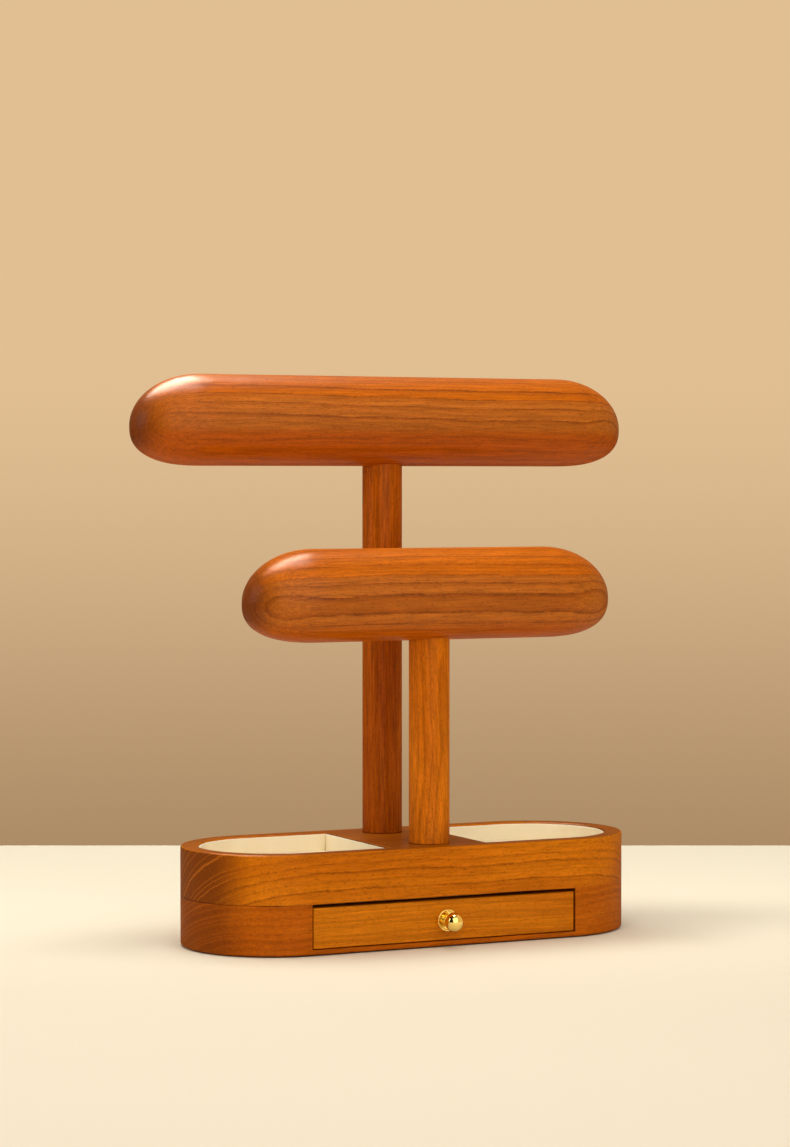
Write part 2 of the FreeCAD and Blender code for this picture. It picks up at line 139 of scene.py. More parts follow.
def newObject(name, data):
    thing = bpy.data.objects.new(name, data)
    bpy.context.scene.collection.objects.link(thing)
    return thing


def dress(nodeNames, material):
    for name in nodeNames:
        mesh = nodes[name].data
        mesh.materials.clear()
        mesh.materials.append(material)
        for polygon in mesh.polygons:
            polygon.material_index = 0


def screenColour(red, green, blue):  # an eye-dropper colour, 0 to 255, as linear light
    parts = [value / 255 for value in (red, green, blue)]
    return [v / 12.92 if v <= 0.04045 else ((v + 0.055) / 1.055) ** 2.4 for v in parts] + [1.0]


# Every board has X along its grain, and its rings stand around a pith that drifts from end to end. A noise
# here is its scales per millimetre along the grain and twice across it, then its detail and roughness.
grain = {
    "fibre": ((0.045, 0.95, 0.95), 5.0, 0.68), "pores": ((0.42, 2.3, 2.3), 2.0, 0.6),
    "broken": ((0.09, 0.5, 0.5), 3.0, 0.65), "drift": ((0.007, 0.035, 0.035), 2.0, 0.5),
    "sways": (((0.009, 0.022, 0.022), 1.0), ((0.04, 0.09, 0.09), 0.3), ((0.16, 0.5, 0.5), 0.12)),
    "swayDetail": (1.0, 0.5), "fibreSway": 1.1, "seedStep": 37.0,
    "unevenScale": 0.7, "uneven": 1.5, "faintestRing": 0.15, "ringRise": (0.2, 0.86), "ringFall": (0.9, 1.0),
    "edgeRise": (0.0, 0.07), "edgeFall": (0.1, 0.22), "poreRange": (0.56, 0.7), "dashRange": (0.36, 0.58),
    "brokenRange": (0.36, 0.6),
}


def pithDistance(tree, board):
    place = axes(tree, board["Vector"])
    left, middle, right = (axes(tree, board[name]) for name in ("Pith Left", "Pith Middle", "Pith Right"))
    squares = []
    for axis in (1, 2):
        toRight = calc(tree, "SUBTRACT", right[axis], middle[axis])
        pith = calc(tree, "ADD", ramp(tree, place[0], left[0], middle[0], left[axis], middle[axis]),
                    ramp(tree, place[0], middle[0], right[0], 0.0, toRight))
        offset = calc(tree, "SUBTRACT", place[axis], pith)
        squares.append(times(tree, offset, offset))
    return calc(tree, "SQRT", calc(tree, "ADD", *squares))


def buildBoardFigure():  # distance from the pith, fine rings, fibres and pores
    tree, board, end = newGroup("boardFigure", [
        ("Vector", "Vector", None), ("Pith Left", "Vector", None), ("Pith Middle", "Vector", None),
        ("Pith Right", "Vector", None), ("Fine Ring Width", "Float", 2.0), ("Waviness", "Float", 3.0),
        ("Seed", "Float", 0.0),
    ], ["Distance", "Fine Ring", "Ring Edge", "Fibre", "Pore", "Dash", "Broken", "Drift"])
    shifted = addNode(tree, "ShaderNodeVectorMath", {"operation": "ADD"}, {
        0: board["Vector"], 1: grey(tree, times(tree, board["Seed"], grain["seedStep"]))}).outputs[0]
    fibre = stretchedNoise(tree, shifted, *grain["fibre"])
    distance = pithDistance(tree, board)
    for scales, share in grain["sways"]:
        sway = calc(tree, "SUBTRACT", stretchedNoise(tree, shifted, scales, *grain["swayDetail"]), 0.5)
        distance = calc(tree, "ADD", distance, times(tree, sway, board["Waviness"], share))
    fibreSway = times(tree, calc(tree, "SUBTRACT", fibre, 0.5), grain["fibreSway"])
    distance = calc(tree, "ADD", distance, fibreSway)

    steps = calc(tree, "ADD", calc(tree, "DIVIDE", distance, board["Fine Ring Width"]), board["Seed"])
    uneven = addNode(tree, "ShaderNodeTexNoise", {"noise_dimensions": "1D"}, {
        "W": steps, "Scale": grain["unevenScale"], "Detail": 1.0}).outputs["Fac"]
    steps = calc(tree, "ADD", steps, times(tree, uneven, grain["uneven"]))
    phase = calc(tree, "FRACT", steps)
    strength = addNode(tree, "ShaderNodeTexWhiteNoise", {"noise_dimensions": "1D"}, {
        "W": calc(tree, "FLOOR", steps)}).outputs["Value"]
    fineRing = times(tree, ramp(tree, phase, *grain["ringRise"]),
                     ramp(tree, phase, *grain["ringFall"], 1.0, 0.0),
                     ramp(tree, strength, 0.0, 1.0, grain["faintestRing"], 1.0))
    ringEdge = times(tree, ramp(tree, phase, *grain["edgeRise"]),
                     ramp(tree, phase, *grain["edgeFall"], 1.0, 0.0))
    pores = stretchedNoise(tree, shifted, *grain["pores"])
    broken = stretchedNoise(tree, shifted, *grain["broken"])
    for name, value in (
        ("Distance", distance), ("Fine Ring", fineRing), ("Ring Edge", ringEdge), ("Fibre", fibre),
        ("Pore", ramp(tree, pores, *grain["poreRange"])), ("Dash", ramp(tree, pores, *grain["dashRange"])),
        ("Broken", ramp(tree, broken, *grain["brokenRange"])),
        ("Drift", stretchedNoise(tree, shifted, *grain["drift"])),
    ):
        feed(tree, end, name, value)
    return tree


def buildEndStainAndSideShade():  # how much of the cut shows end grain, where stain soaks in; right-facing ends take only Right Share of it, so the left-facing ends are darker as painted shade
    tree, given, end = newGroup("endStainAndSideShade", [
        ("Start", "Float", 0.7), ("Full", "Float", 0.93), ("Right Share", "Float", 1.0)], ["Mask"])
    facing = axes(tree, surfaceNormal(tree))[0]
    right = times(tree, ramp(tree, facing, given["Start"], given["Full"]), given["Right Share"])
    left = ramp(tree, times(tree, facing, -1.0), given["Start"], given["Full"])
    feed(tree, end, "Mask", calc(tree, "MAXIMUM", left, right))
    return tree


seamAndShadeLook = {
    "core": 0.3, "farEnd": 0.15, "patches": ((0.05, 0.05, 0.3), 2.0, 0.5), "patchRange": (0.3, 0.62),
    "faintest": 0.35,
}


def buildJointLineAndPaintedShade():  # a thin dark line at one height: a dark joint where two wooden pieces meet, and painted shade at the foot of the posts
    tree, given, end = newGroup("glueLine", [
        ("Vector", "Vector", None), ("Level", "Float", 0.0), ("Width", "Float", 0.3),
        ("Fade Start", "Float", 900.0), ("Fade End", "Float", 999.0),
    ], ["Line"])
    place = axes(tree, given["Vector"])
    away = calc(tree, "ABSOLUTE", calc(tree, "SUBTRACT", place[2], given["Level"]))
    patches = stretchedNoise(tree, given["Vector"], *seamAndShadeLook["patches"])
    feed(tree, end, "Line", times(
        tree, ramp(tree, calc(tree, "DIVIDE", away, given["Width"]), seamAndShadeLook["core"], 1.0, 1.0, 0.0),
        ramp(tree, place[0], given["Fade Start"], given["Fade End"], 1.0, seamAndShadeLook["farEnd"]),
        ramp(tree, patches, *seamAndShadeLook["patchRange"], seamAndShadeLook["faintest"], 1.0)))
    return tree


boardFigure = buildBoardFigure()
endStainAndSideShade = buildEndStainAndSideShade()
glueLine = buildJointLineAndPaintedShade()

woodLook = {  # what all the boards share
    "driftRange": (0.35, 0.65), "plainMarks": 0.5, "bandSoftIn": 0.5, "bandSoftOut": 0.4,
    "shadeOutside": 0.35, "lineInside": 1.0, "lineOutside": 0.4, "dashFaint": 0.45, "brokenFaint": 0.4,
    "fibreRange": (0.25, 0.75), "fibreCore": (0.3, 0.7), "paintedTopShadeRange": (0.8, 0.98), "soakedFibre": 0.3,
    "smoother": 0.04, "rougher": 0.05, "fibreRelief": 0.3, "reliefStrength": 0.15, "reliefDepth": 0.0001,
    "lacquerRoughness": 0.3, "rampMargin": 5.0,
}


def ringRamp(tree, distance, rings, inside, outside):  # every ring fades out to both sides of its radius
    span = rings[-1][0] + woodLook["rampMargin"]
    node = addNode(tree, "ShaderNodeValToRGB", {}, {"Fac": calc(tree, "DIVIDE", distance, span)})
    band = node.color_ramp
    band.interpolation = "LINEAR"
    while len(band.elements) > 1:
        band.elements.remove(band.elements[-1])
    band.elements[0].position = 0.0
    band.elements[0].color = (0, 0, 0, 1)
    for radius, strength in rings:
        for place, level in ((radius - inside, 0.0), (radius, strength), (radius + outside, 0.0)):
            stop = band.elements.new(min(max(place / span, 0.0), 1.0))
            stop.color = (level, level, level, 1)
    return node.outputs["Color"]


def ringColour(tree, wood, board, figure):  # drifting colour, the dark band, then ring shades and lines
    place = axes(tree, board)
    distance = figure["Distance"]
    plain = ramp(tree, place[2], *wood["plainBelow"], 1.0, 0.0)  # the quiet lower edge of the board
    marked = times(tree, ramp(tree, place[0], *wood["faintEnd"]),
                   ramp(tree, plain, 0.0, 1.0, 1.0, woodLook["plainMarks"]))
    bandIn, bandOut = wood["band"]
    softIn, softOut = woodLook["bandSoftIn"], woodLook["bandSoftOut"]
    band = times(tree, ramp(tree, distance, bandIn - softIn, bandIn + softIn),
                 ramp(tree, distance, bandOut - softOut, bandOut + softOut, 1.0, 0.0), marked)
    shades = ringRamp(tree, distance, wood["rings"], wood["ringShade"], woodLook["shadeOutside"])
    shades = times(tree, shades, marked, wood["shadeDepth"])
    lines = ringRamp(tree, distance, wood["rings"], woodLook["lineInside"], woodLook["lineOutside"])
    faintest, strongest = wood["lineDepth"] * woodLook["brokenFaint"], wood["lineDepth"]
    lines = times(tree, lines, ramp(tree, figure["Dash"], 0.0, 1.0, woodLook["dashFaint"], 1.0), marked,
                  ramp(tree, figure["Broken"], 0.0, 1.0, faintest, strongest))
    body = mixColour(tree, ramp(tree, figure["Drift"], *woodLook["driftRange"]), wood["light"], wood["deep"])
    for share, colour in (
        (band, wood["bandColour"]), (plain, wood["inner"]),
        (times(tree, figure["Fine Ring"], wood["fineDepth"]), wood["shade"]),
        (shades, wood["shade"]), (lines, wood["line"]),
    ):
        body = mixColour(tree, share, body, colour)
    return body


def fibreColour(tree, wood, figure, body):
    darker, lighter = 1.0 - wood["fibreDepth"], 1.0 + wood["fibreDepth"]
    streak = ramp(tree, figure["Fibre"], *woodLook["fibreRange"], darker, lighter)
    body = mixColour(tree, 1.0, body, grey(tree, streak), "MULTIPLY")
    return mixColour(tree, times(tree, figure["Pore"], wood["poreDepth"]), body, wood["line"])


def stainAndPaintedShade(tree, wood, figure, body):  # the top faces are painted darker as shade; stain soaks deeper into the cut ends, and the left-facing ends are darker still as painted shade
    # painted shade: faces turned upward are darkened, standing in for the shade the bars cast on the tray's
    # top
    if wood["paintedTopShadeDepth"]:
        upward = axes(tree, surfaceNormal(tree))[2]
        body = mixColour(tree, ramp(tree, upward, *woodLook["paintedTopShadeRange"], 0.0, wood["paintedTopShadeDepth"]),
                         body, wood["paintedTopShade"])
    if wood["endDepth"]:
        # end grain stain, partly real and partly painted shade: the left-facing ends get the full darkening,
        # the right-facing ends only a share
        soakedAndShaded = placeGroup(tree, endStainAndSideShade, {
            "Start": wood["endStart"], "Full": wood["endFull"], "Right Share": wood["rightEndShareLeftPaintedShade"]})["Mask"]
        stain = mixColour(tree, figure["Ring Edge"], wood["endDark"], wood["endLight"])
        streaks = ramp(tree, figure["Fibre"], *woodLook["fibreCore"], 0.0, woodLook["soakedFibre"])
        stain = mixColour(tree, streaks, stain, wood["shade"])
        body = mixColour(tree, times(tree, soakedAndShaded, wood["endDepth"]), body, stain)
    return body


def jointAndShadeLines(tree, wood, body):
    # dark joints on the tray and housing, and painted shade where the posts stand in the tray
    for level in wood["glueLevels"]:
        seamAndShade = placeGroup(tree, glueLine, {
            "Vector": atPlace(tree), "Level": level, "Width": wood["glueWidth"],
            "Fade Start": wood["glueFade"][0], "Fade End": wood["glueFade"][1]})["Line"]
        body = mixColour(tree, times(tree, seamAndShade, wood["glueDepth"]), body, wood["glue"])
    return body


def woodMaterial(name, wood):
    material, tree, shader = newMaterial(name)
    board = atPlace(tree, wood["middle"], wood["turn"])
    figure = placeGroup(tree, boardFigure, {
        "Vector": board, "Pith Left": wood["pithLeft"],
        "Pith Middle": wood["pithMiddle"], "Pith Right": wood["pithRight"],
        "Fine Ring Width": wood["fineRings"], "Waviness": wood["waviness"], "Seed": wood["seed"]})
    body = ringColour(tree, wood, board, figure)
    body = fibreColour(tree, wood, figure, body)
    body = stainAndPaintedShade(tree, wood, figure, body)
    feed(tree, shader, "Base Color", jointAndShadeLines(tree, wood, body))
    smoothest, roughest = wood["gloss"] - woodLook["smoother"], wood["gloss"] + woodLook["rougher"]
    feed(tree, shader, "Roughness", ramp(tree, figure["Fibre"], *woodLook["fibreCore"], smoothest, roughest))
    relief = calc(tree, "SUBTRACT", times(tree, figure["Fibre"], woodLook["fibreRelief"]), figure["Pore"])
    bumpUp(tree, shader, relief, woodLook["reliefStrength"], woodLook["reliefDepth"])
    shader.inputs["Coat Weight"].default_value = wood["lacquer"]
    shader.inputs["Coat Roughness"].default_value = woodLook["lacquerRoughness"]
    shader.inputs["Specular IOR Level"].default_value = 0.0  # the lacquer alone carries the highlights
    return material


# middle and turn lay a board's grain in the object, in millimetres and degrees. Pith, band and rings are
# measured from there, faintEnd and plainBelow say where marks fade, and glueLevels are heights of joints.
plainBoard = {
    "middle": (0, 0, 0), "turn": (0, 0, 0), "waviness": 5.5, "fineRings": 2.2, "fineDepth": 0.3,
    "band": (-9.0, -8.0),
    "light": screenColour(198, 104, 8), "deep": screenColour(184, 92, 4), "inner": screenColour(186, 92, 6),
    "bandColour": screenColour(180, 98, 26), "shade": screenColour(146, 66, 4), "shadeDepth": 0.4,
    "ringShade": 3.0, "line": screenColour(88, 34, 2), "lineDepth": 0.8, "fibreDepth": 0.2,
    "poreDepth": 0.55, "faintEnd": (-999, -998, 0.0, 1.0), "plainBelow": (-999, -998),
    "endStart": 0.55, "endFull": 0.92, "rightEndShareLeftPaintedShade": 0.45, "endDepth": 0.9,
    "endDark": screenColour(100, 46, 3), "endLight": screenColour(164, 88, 16),
    "gloss": 0.3, "lacquer": 0.12, "paintedTopShadeDepth": 0.0,
    "glueLevels": (), "glueWidth": 0.45, "glueDepth": 0.85, "glueFade": (900, 999),
    "glue": screenColour(70, 26, 4),
}
barBoard = {
    **plainBoard, "waviness": 4.5, "shadeDepth": 0.6, "fibreDepth": 0.27, "lacquer": 0.25,
    "endStart": 0.4, "rightEndShareLeftPaintedShade": 0.2,
    "endDark": screenColour(92, 38, 3), "endLight": screenColour(124, 56, 7),
}
upperBarBoard = {
    **barBoard, "middle": (0, 4.5, 258), "pithLeft": (-150, 4, 14), "pithMiddle": (-30, 3, 14),
    "pithRight": (150, 4, 13), "seed": 3.1, "band": (-5.0, 17.1), "plainBelow": (8, 15),
    "faintEnd": (-135, -70, 0.5, 1.0), "light": screenColour(184, 92, 3), "deep": screenColour(172, 82, 1),
    "inner": screenColour(175, 79, 2),
    "rings": [(3.8, 0.3), (6.7, 0.7), (12.2, 0.6), (17.1, 0.75), (22.2, 0.9), (28.2, 0.4), (34.0, 0.4)],
}
lowerBarBoard = {
    **barBoard, "middle": (0, -52.5, 160), "pithLeft": (-110, 5, 19), "pithMiddle": (-24, 4, 20),
    "pithRight": (106, 5, 19), "seed": 7.7, "band": (-5.0, 14.3), "plainBelow": (1, 12),
    "faintEnd": (-100, -60, 0.8, 1.0), "light": screenColour(190, 96, 4), "deep": screenColour(178, 86, 2),
    "inner": screenColour(174, 82, 4),
    "rings": [(6.2, 0.9), (10.9, 0.75), (14.7, 0.5), (19.8, 0.6), (24.9, 0.4), (31.0, 0.4)],
}
backPostBoard = {
    **plainBoard, "middle": (0, 28.5, 150), "turn": (0, 90, 0), "pithLeft": (-110, -60, 20),
    "pithMiddle": (0, -56, 24), "pithRight": (110, -62, 18), "seed": 11.3, "waviness": 3.0,
    "light": screenColour(180, 88, 5), "deep": screenColour(160, 72, 3), "shade": screenColour(128, 54, 3),
    "fineRings": 1.5, "fineDepth": 0.4, "ringShade": 1.6, "shadeDepth": 0.3, "lineDepth": 0.4,
    # painted shade: the dark line at 52.6 is the shade at the post's foot
    "fibreDepth": 0.42, "endDepth": 0.0, "glueLevels": (52.6,), "glueWidth": 0.7,
    "rings": [(51.5, 0.5), (54.6, 0.4), (57.4, 0.7), (60.0, 0.4), (63.6, 0.6), (67.0, 0.5), (70.5, 0.5)],
}
frontPostBoard = {
    **plainBoard, "middle": (0, -28.5, 110), "turn": (0, 84, 6), "pithLeft": (-70, -26, 4),
    "pithMiddle": (0, -22, 8), "pithRight": (70, -16, 2), "seed": 5.2,
    "light": screenColour(214, 120, 16), "deep": screenColour(198, 103, 9),
    "fineRings": 1.8, "fineDepth": 0.4, "ringShade": 2.5, "shadeDepth": 0.5, "lineDepth": 0.12,
    # painted shade: the dark line at 52.6 is the shade at the post's foot
    "fibreDepth": 0.26, "endDepth": 0.0, "glueLevels": (52.6,), "glueWidth": 0.7,
    "rings": [(10.0, 0.4), (14.0, 0.5), (18.2, 0.4), (22.0, 0.6), (25.6, 0.4), (29.0, 0.5)],
}
trayBoard = {
    **plainBoard, "pithLeft": (-126, -66, -38), "pithMiddle": (-50, -69, -35),
    "pithRight": (126, -68, -36), "seed": 1.4,
    "light": screenColour(208, 117, 9), "deep": screenColour(194, 103, 5),
    # painted shade: the tray's upward faces are darkened as if shaded by the bars
    "fineRings": 4.4, "fineDepth": 0.2, "paintedTopShadeDepth": 0.5, "paintedTopShade": screenColour(122, 54, 6),
    "glueLevels": (26.6,), "glueFade": (40, 90),
    "rings": [(66.0, 0.3), (71.3, 0.9), (75.6, 0.4), (80.2, 0.85), (84.5, 0.5), (89.0, 0.4)],
}
housingBoard = {
    **plainBoard, "turn": (0, -3.0, 0), "pithLeft": (-126, -39, -64),
    "pithMiddle": (-40, -41, -64), "pithRight": (126, -52, -60), "seed": 9.4,
    "light": screenColour(190, 98, 8), "deep": screenColour(174, 84, 4),
    "fineRings": 2.8, "fineDepth": 0.4, "ringShade": 2.4, "lineDepth": 0.6,
    "endDepth": 0.7, "endLight": screenColour(150, 76, 12), "glueLevels": (26.6,), "glueFade": (40, 90),
    "rings": [(66.0, 0.5), (70.4, 0.4), (74.0, 0.6), (77.8, 0.5), (81.6, 0.6), (85.8, 0.5), (89.5, 0.5),
              (94.0, 0.4)],
}
drawerFrontBoard = {
    **plainBoard, "middle": (0, -49, 14), "pithLeft": (-76, -30, 44), "pithMiddle": (0, -28, 46),
    "pithRight": (76, -30, 43), "seed": 2.2, "waviness": 2.5,
    "light": screenColour(208, 120, 12), "deep": screenColour(194, 106, 8),
    "shade": screenColour(156, 78, 6), "fineRings": 1.7, "fineDepth": 0.4, "ringShade": 1.8,
    "lineDepth": 0.25, "endDepth": 0.0,
    "rings": [(43.5, 0.5), (47.0, 0.6), (50.8, 0.4), (53.2, 0.7), (57.4, 0.5), (61.0, 0.6)],
}
drawerBoxBoard = {
    **plainBoard, "middle": (0, 0, 14), "pithLeft": (-76, -60, 44), "pithMiddle": (0, -58, 46),
    "pithRight": (76, -60, 43), "seed": 4.2, "fineRings": 3.0,
    "light": screenColour(216, 176, 120), "deep": screenColour(204, 160, 104),
    "shade": screenColour(180, 134, 84), "line": screenColour(140, 92, 50),
    "gloss": 0.45, "lacquer": 0.1, "endDepth": 0.0, "rings": [(60.0, 0.3), (75.0, 0.4), (90.0, 0.3)],
}
drawerPanelBoard = {
    **drawerBoxBoard, "seed": 6.6, "pithMiddle": (0, -120, 30),
    "light": screenColour(214, 178, 128), "deep": screenColour(202, 164, 112), "gloss": 0.5,
}
for slotName, board, nodeNames in (
    ("upper_bar_wood", upperBarBoard, ["upper_bar"]),
    ("lower_bar_wood", lowerBarBoard, ["lower_bar"]),
    ("back_post_wood", backPostBoard, ["back_post"]),
    ("front_post_wood", frontPostBoard, ["front_post"]),
    ("tray_wood", trayBoard, ["tray_frame"]),
    ("housing_wood", housingBoard, ["drawer_housing"]),
    ("drawer_front_wood", drawerFrontBoard, ["drawer_front"]),
    ("drawer_box_wood", drawerBoxBoard, ["drawer_left_side", "drawer_right_side", "drawer_back"]),
    ("drawer_panel_wood", drawerPanelBoard, ["drawer_bottom"]),
):
    dress(nodeNames, woodMaterial(slotName, board))
print("wood pieces dressed")


toolMarks = {  # smears is a noise's scale, detail and roughness
    "wavePeriod": 0.314, "wander": 0.4, "smears": (0.35, 3.0, 0.6), "smearRange": (0.3, 0.7),
    "markDepth": 0.00002,
}


def buildTurnedMetal():  # fine rings left by the lathe, and smears from handling
    tree, given, end = newGroup("turnedMetal", [
        ("Vector", "Vector", None), ("Mark Spacing", "Float", 0.3)], ["Marks", "Handling"])
    marks = addNode(tree, "ShaderNodeTexWave", {"wave_type": "RINGS", "rings_direction": "Y"}, {
        "Vector": given["Vector"], "Distortion": toolMarks["wander"], "Detail": 1.0,
        "Scale": calc(tree, "DIVIDE", toolMarks["wavePeriod"], given["Mark Spacing"])}).outputs["Fac"]
    feed(tree, end, "Marks", marks)
    feed(tree, end, "Handling", noiseValue(tree, given["Vector"], *toolMarks["smears"]))
    return tree


turnedMetal = buildTurnedMetal()


def metalMaterial(name, metal):
    material, tree, shader = newMaterial(name)
    surface = placeGroup(tree, turnedMetal, {
        "Vector": atPlace(tree, metal["middle"]), "Mark Spacing": metal["markSpacing"]})
    feed(tree, shader, "Base Color", mixColour(tree, surface["Handling"], metal["bright"], metal["dull"]))
    feed(tree, shader, "Roughness", ramp(tree, surface["Handling"], *toolMarks["smearRange"],
                                         metal["polish"], metal["smear"]))
    bumpUp(tree, shader, surface["Marks"], metal["markStrength"], toolMarks["markDepth"])
    shader.inputs["Metallic"].default_value = 1.0
    return material


polishedGold = {
    "middle": (0, -57.7, 14.25), "markSpacing": 0.4, "markStrength": 0.05, "polish": 0.06, "smear": 0.12,
    "bright": screenColour(255, 234, 144), "dull": screenColour(252, 220, 118),
}
insertBrass = {
    "middle": (0, 0, 0), "markSpacing": 0.5, "markStrength": 0.5, "polish": 0.28, "smear": 0.42,
    "bright": screenColour(228, 190, 112), "dull": screenColour(196, 156, 84),
}
fastenerSteel = {
    "middle": (0, 0, 0), "markSpacing": 0.4, "markStrength": 0.4, "polish": 0.3, "smear": 0.45,
    "bright": screenColour(206, 206, 202), "dull": screenColour(176, 178, 180),
}
insertNames = [name for name in nodes if "insert" in name]
fastenerNames = [name for name in nodes if "bolt" in name or "washer" in name] + ["knob_screw"]
for slotName, metal, nodeNames in (
    ("polished_gold", polishedGold, ["knob_rosette", "drawer_knob"]),
    ("insert_brass", insertBrass, insertNames),
    ("fastener_steel", fastenerSteel, fastenerNames),
):
    dress(nodeNames, metalMaterial(slotName, metal))
print("metal pieces dressed")


pile = {  # patches and tufts are a noise's detail and roughness
    "patches": (3.0, 0.6), "tufts": (3.0, 0.7), "layRange": (0.3, 0.7), "tuftRange": (0.2, 0.8),
    "roughness": (0.85, 0.95), "tuftDepth": 0.0002, "sheenRoughness": 0.4, "reflection": 0.2,
}


def buildNap():  # the lay of the nap in soft patches, and fine tufts
    tree, given, end = newGroup("clothNap", [
        ("Vector", "Vector", None), ("Tuft Size", "Float", 0.3), ("Patch Size", "Float", 12.0),
    ], ["Lay", "Tufts"])
    patchScale = calc(tree, "DIVIDE", 1.0, given["Patch Size"])
    tuftScale = calc(tree, "DIVIDE", 1.0, given["Tuft Size"])
    patches = noiseValue(tree, given["Vector"], patchScale, *pile["patches"])
    feed(tree, end, "Lay", ramp(tree, patches, *pile["layRange"]))
    feed(tree, end, "Tufts", noiseValue(tree, given["Vector"], tuftScale, *pile["tufts"]))
    return tree


clothNap = buildNap()


def clothMaterial(name, cloth):
    material, tree, shader = newMaterial(name)
    nap = placeGroup(tree, clothNap, {
        "Vector": atPlace(tree), "Tuft Size": cloth["tuft"], "Patch Size": cloth["patch"]})
    body = mixColour(tree, nap["Lay"], cloth["light"], cloth["deep"])
    speckle = ramp(tree, nap["Tufts"], *pile["tuftRange"], 1.0 - cloth["speckle"], 1.0 + cloth["speckle"])
    feed(tree, shader, "Base Color", mixColour(tree, 1.0, body, grey(tree, speckle), "MULTIPLY"))
    feed(tree, shader, "Roughness", ramp(tree, nap["Lay"], 0.0, 1.0, *pile["roughness"]))
    bumpUp(tree, shader, nap["Tufts"], cloth["pileStrength"], pile["tuftDepth"])
    shader.inputs["Sheen Weight"].default_value = cloth["sheen"]
    shader.inputs["Sheen Roughness"].default_value = pile["sheenRoughness"]
    shader.inputs["Sheen Tint"].default_value = cloth["sheenTint"]
    shader.inputs["Specular IOR Level"].default_value = pile["reflection"]
    return material


creamVelvet = {
    "tuft": 0.35, "patch": 26.0, "speckle": 0.04, "pileStrength": 0.4, "sheen": 0.15,
    "light": screenColour(252, 240, 208), "deep": screenColour(249, 234, 198),
    "sheenTint": screenColour(255, 248, 228),
}
drawerVelvet = {**creamVelvet, "patch": 18.0}
brownFelt = {
    "tuft": 0.5, "patch": 20.0, "speckle": 0.25, "pileStrength": 0.8, "sheen": 0.2,
    "light": screenColour(92, 66, 48), "deep": screenColour(78, 54, 38),
    "sheenTint": screenColour(160, 130, 104),
}
clothMaterials = {
    "tray_velvet": clothMaterial("tray_velvet", creamVelvet),
    "drawer_velvet": clothMaterial("drawer_velvet", drawerVelvet),
    "felt": clothMaterial("felt", brownFelt),
}


# Soft pieces are skins through stacked loops of points, in millimetres.
def skin(name, loops, slot="tray_velvet", body="stand", stands=()):
    build = bmesh.new()
    rows = [[build.verts.new(Vector(point) * millimetre) for point in loop] for loop in loops]
    count = len(rows[0])
    for lower, upper in zip(rows, rows[1:]):
        for i in range(count):
            j = (i + 1) % count
            build.faces.new((lower[i], lower[j], upper[j], upper[i]))
    for row in (rows[0], rows[-1]):
        build.faces.new(row)
    bmesh.ops.recalc_face_normals(build, faces=build.faces)
    mesh = bpy.data.meshes.new(name)
    build.to_mesh(mesh)
    build.free()
    mesh.materials.append(clothMaterials[slot])
    for polygon in mesh.polygons:
        polygon.use_smooth = True
    piece = newObject(name, mesh)
    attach(piece, body)
    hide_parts(*stands)
    return piece


def ripple(point, size, depth, seed):  # gentle hand-made unevenness, moved along each axis by the seed
    return depth * noise.noise(Vector(point) / size + Vector((seed, seed * 2.3, seed * 0.7)))


def arcPoints(centre, radius, start, end, count):
    angles = [math.radians(start + (end - start) * i / count) for i in range(count + 1)]
    return [(centre[0] + radius * math.cos(a), centre[1] + radius * math.sin(a)) for a in angles]


def between(start, end, steps):  # the points that part a straight run, without its ends
    (startX, startY), (endX, endY) = start, end
    shares = [k / steps for k in range(1, steps)]
    return [(startX + (endX - startX) * share, startY + (endY - startY) * share) for share in shares]


wallLiner = {
    "openX": 28.35, "arcX": 77.0, "reach": 39.6, "thickness": 1.2, "bottom": 41.6, "top": 51.85,
    "backSteps": 6, "foldStep": 20, "frontSteps": 8, "arcSteps": 72, "runSteps": 26,
    "uneven": 0.09, "waveSize": 9.0, "bulge": 0.12, "bulgeFrom": 0.3, "bulgeShare": 0.6, "bulgeWave": 0.4,
    "fullWave": 0.1,
}
bridgeLiner = {"outerX": 28.35, "endY": 38.35, "steps": 48}
floorPad = {
    "openX": 29.65, "arcX": 77.0, "reach": 38.3, "bottom": 41.6, "edgeTop": 42.9, "crown": 0.75,
    "underInset": 14.0, "edgeRoll": 1.3, "underRoll": 0.6, "rollFrom": -60, "rollStep": 15,
    "crownInsets": (2.2, 3.5, 5.5, 8, 11, 14.5, 18.5, 23, 27.5, 32, 36), "crownPower": 2.4,
    "arcSteps": 56, "sideSteps": 28, "uneven": 0.12, "waveSize": 16.0, "waveMargin": 0.05,
}


def cardOutline(card):  # (depth from the wood, height): up the back, over the fold, down the front
    thick, bottom = card["thickness"], card["bottom"]
    half = thick / 2
    foldLevel = card["top"] - half
    backSteps, frontSteps = card["backSteps"], card["frontSteps"]
    points = [(0.0, bottom + (foldLevel - bottom) * i / backSteps) for i in range(backSteps)]
    for angle in range(0, 181, card["foldStep"]):
        turn = math.radians(angle)
        points.append((half - half * math.cos(turn), foldLevel + half * math.sin(turn)))
    points += [(thick, foldLevel - (foldLevel - bottom) * i / frontSteps) for i in range(1, frontSteps + 1)]
    return points


def cardAlong(path, card, seed):  # path holds (x, y, inward x, inward y)
    loops = []
    outline = cardOutline(card)
    for x, y, inX, inY in path:
        loop = []
        for depth, height in outline:
            share = (height - card["bottom"]) / (card["top"] - card["bottom"])
            wave = ripple((x, y, height), card["waveSize"], card["uneven"], seed)
            if depth > card["bulgeFrom"]:  # the show face is softly padded and never quite straight
                swell = card["bulgeShare"] + wave / card["fullWave"] * card["bulgeWave"]
                depth += card["bulge"] * math.sin(math.pi * min(share, 1.0)) * swell
            height += wave * share
            loop.append((x + inX * depth, y + inY * depth, height))
        loops.append(loop)
    return loops


